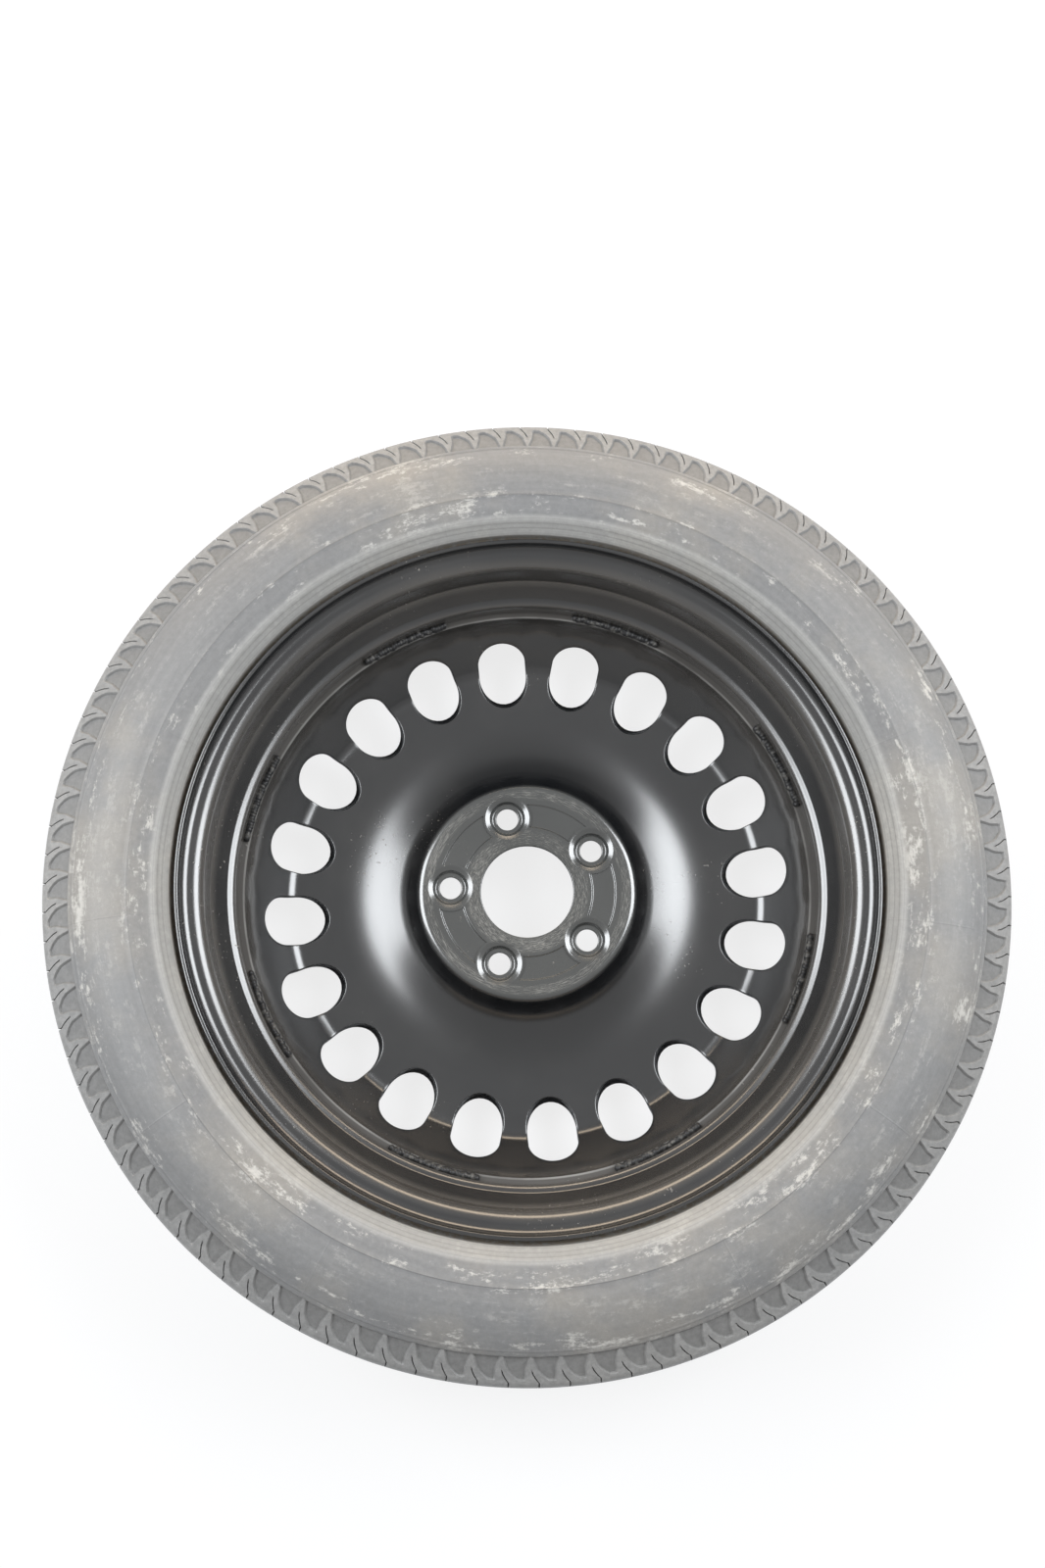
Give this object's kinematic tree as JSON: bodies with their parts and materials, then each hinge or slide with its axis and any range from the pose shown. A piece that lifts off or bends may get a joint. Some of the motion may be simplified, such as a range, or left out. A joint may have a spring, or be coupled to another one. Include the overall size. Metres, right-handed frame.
{
  "type": "space saver spare wheel",
  "caption": "Narrow space saver spare wheel: temporary tyre on a welded steel wheel with a dished disc, a ring of vent windows, a bolted hub pad and a snap-in valve.",
  "frame": {"origin": "the wheel's centre, on the axle midway between the rim's flanges", "axes": "+Z along the axle towards the hub's side, which looks up as the wheel lies on its outer side; +Y towards the top of the picture, +X to its right"},
  "size_m": [0.6488, 0.6488, 0.15],
  "materials": {
    "tyre_rubber": "matt",
    "black_paint": "semi-gloss",
    "valve_rubber": "matt",
    "brass": "turned",
    "spring_steel": "bright",
    "black_plastic": "matt"
  },
  "bodies": {
    "wheel": {"tyre": "tyre_rubber", "rim": "black_paint", "wheel_disc": "black_paint", "weld_beads": "black_paint", "valve_body": "valve_rubber", "valve_stem": "brass", "core_body": "brass", "core_spring": "spring_steel"},
    "cap": {"valve_cap": "black_plastic"},
    "pin": {"core_pin": "brass"}
  },
  "joints": [
    {"name": "cap_off", "type": "slide", "parent": "wheel", "child": "cap", "axis": [-0.1818, 0.6833, -0.7071], "range_m": [0, 0.012]},
    {"name": "core_press", "type": "slide", "parent": "wheel", "child": "pin", "axis": [0.1818, -0.6833, 0.7071], "range_m": [0, 0.0015], "stiffness_N_per_m": 1500, "springref_m": -0.001, "deforming": ["core_spring"]}
  ]
}
